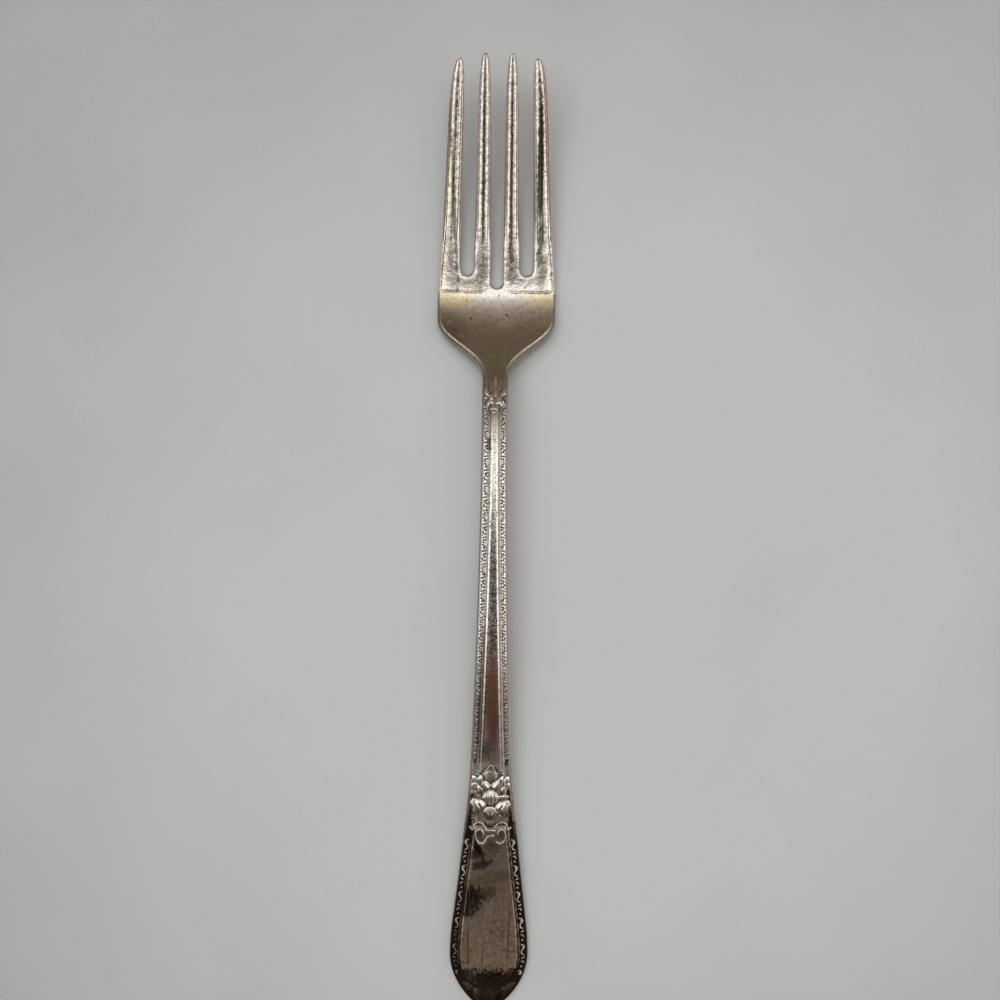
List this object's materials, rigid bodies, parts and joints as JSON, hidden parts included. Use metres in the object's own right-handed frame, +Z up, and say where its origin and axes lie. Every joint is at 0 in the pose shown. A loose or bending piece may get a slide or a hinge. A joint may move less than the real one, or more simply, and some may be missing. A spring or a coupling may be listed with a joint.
{
  "type": "dinner fork",
  "caption": "Dinner fork with an arched stem, a flared pointed handle end and a chased husk border and flower spray, for lifting and holding food.",
  "frame": {"origin": "middle of the fork's length and width, on the table that it lies on", "axes": "+Y along the fork towards the tips of the tines, +Z up out of the table, +X across to the right with the tines pointing away"},
  "size_m": [0.0236, 0.1898, 0.0127],
  "materials": {
    "silver_plate": "polished silver plate with light wear and tarnish",
    "silver_warm": "polished silver plate with a warm tarnish",
    "chased_silver": "chased silver plate, dark in its hollows"
  },
  "bodies": {
    "root": {"tine_outer_left": "silver_plate", "tine_inner_left": "silver_plate", "tine_inner_right": "silver_plate", "tine_outer_right": "silver_plate", "tine_root": "silver_plate", "bowl": "silver_warm", "neck": "silver_plate", "stem": "silver_plate", "handle_end": "silver_warm", "neck_leaves": "chased_silver", "stem_husks_left": "chased_silver", "stem_husks_right": "chased_silver", "flower_spray": "chased_silver", "scroll_pair": "chased_silver", "end_husks_left": "chased_silver", "end_husks_right": "chased_silver", "tip_leaves": "chased_silver"}
  },
  "joints": []
}
